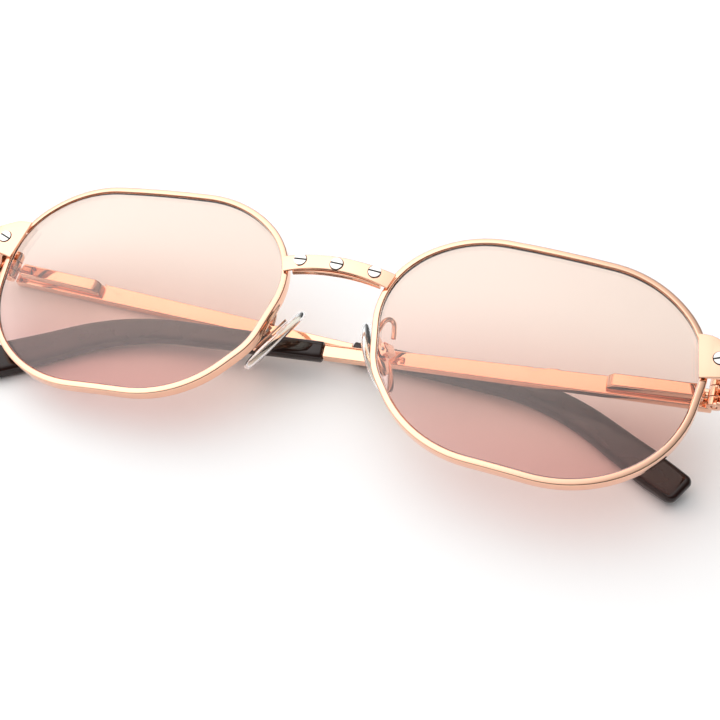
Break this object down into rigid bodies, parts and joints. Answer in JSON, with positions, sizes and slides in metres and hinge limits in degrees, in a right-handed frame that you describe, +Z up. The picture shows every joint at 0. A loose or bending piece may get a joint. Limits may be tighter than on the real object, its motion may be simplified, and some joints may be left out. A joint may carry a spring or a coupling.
{
  "type": "sunglasses",
  "caption": "Metal-framed tinted sunglasses, folded, with angular rounded rims, screwed bridge plate, spring-hinged temples and clear nose pads.",
  "frame": {"origin": "on the table under the middle of the folded glasses' box", "axes": "+X across the face towards the wearer's left, +Y up the face along the table, +Z up from the table; the lenses face up and lean about 17 degrees"},
  "size_m": [0.143, 0.0422, 0.0254],
  "materials": {
    "rose_gold": "polished rose-gold plating",
    "steel": "polished, slotted heads",
    "lens_tint": "light peach gradient tint, hard coated",
    "tip_acetate": "polished dark acetate",
    "clear_silicone": "clear moulded pad",
    "spring_steel": "drawn wire"
  },
  "bodies": {
    "front": {"left_rim": "rose_gold", "right_rim": "rose_gold", "left_lens": "lens_tint", "right_lens": "lens_tint", "bridge_plate": "rose_gold", "bridge_bar": "rose_gold", "bridge_screw_left": "steel", "bridge_screw_middle": "steel", "bridge_screw_right": "steel", "left_endpiece": "rose_gold", "left_endpiece_screw": "steel", "left_rim_lock": "rose_gold", "left_lock_screw": "steel", "left_hinge_front": "rose_gold", "left_hinge_screw": "steel", "left_pad_arm": "rose_gold", "left_pad_box": "rose_gold", "left_pad_screw": "steel", "right_endpiece": "rose_gold", "right_endpiece_screw": "steel", "right_rim_lock": "rose_gold", "right_lock_screw": "steel", "right_hinge_front": "rose_gold", "right_hinge_screw": "steel", "right_pad_arm": "rose_gold", "right_pad_box": "rose_gold", "right_pad_screw": "steel"},
    "left_slider": {"left_hinge_slider": "rose_gold", "left_spring_nut": "steel"},
    "left_temple": {"left_temple_bar": "rose_gold", "left_temple_tip": "tip_acetate", "left_spring_housing": "rose_gold", "left_spring_stop": "steel", "left_flex_spring": "spring_steel"},
    "left_pad": {"left_nose_pad": "clear_silicone", "left_pad_plate": "rose_gold"},
    "right_slider": {"right_hinge_slider": "rose_gold", "right_spring_nut": "steel"},
    "right_temple": {"right_temple_bar": "rose_gold", "right_temple_tip": "tip_acetate", "right_spring_housing": "rose_gold", "right_spring_stop": "steel", "right_flex_spring": "spring_steel"},
    "right_pad": {"right_nose_pad": "clear_silicone", "right_pad_plate": "rose_gold"}
  },
  "joints": [
    {"name": "left_temple_hinge", "type": "hinge", "parent": "front", "child": "left_slider", "pos_m": [0.06758, 0.00652, 0.01316], "axis": [0.0185, -0.9558, -0.2935], "range_deg": [0, 90]},
    {"name": "right_temple_hinge", "type": "hinge", "parent": "front", "child": "right_slider", "pos_m": [-0.06716, 0.00652, 0.00469], "axis": [-0.0185, 0.9558, 0.2935], "range_deg": [0, 90]},
    {"name": "left_flex", "type": "slide", "parent": "left_slider", "child": "left_temple", "axis": [-0.9954, -0.0701, -0.066], "range_m": [0, 0.0012], "stiffness_N_per_m": 2000, "deforming": ["left_flex_spring"]},
    {"name": "right_flex", "type": "slide", "parent": "right_slider", "child": "right_temple", "axis": [1, 0.0002, 0.0027], "range_m": [0, 0.0012], "stiffness_N_per_m": 2000, "deforming": ["right_flex_spring"]},
    {"name": "left_pad_rock", "type": "hinge", "parent": "front", "child": "left_pad", "pos_m": [0.01165, -0.00011, 0.01247], "axis": [0.4735, 0.486, -0.7346], "range_deg": [-8, 8]},
    {"name": "right_pad_rock", "type": "hinge", "parent": "front", "child": "right_pad", "pos_m": [-0.01158, -0.00011, 0.01101], "axis": [0.3776, -0.486, 0.7882], "range_deg": [-8, 8]}
  ],
  "couplings": [
    {"joint": "left_temple_hinge", "follows": "right_temple_hinge", "ratio": 1}
  ]
}
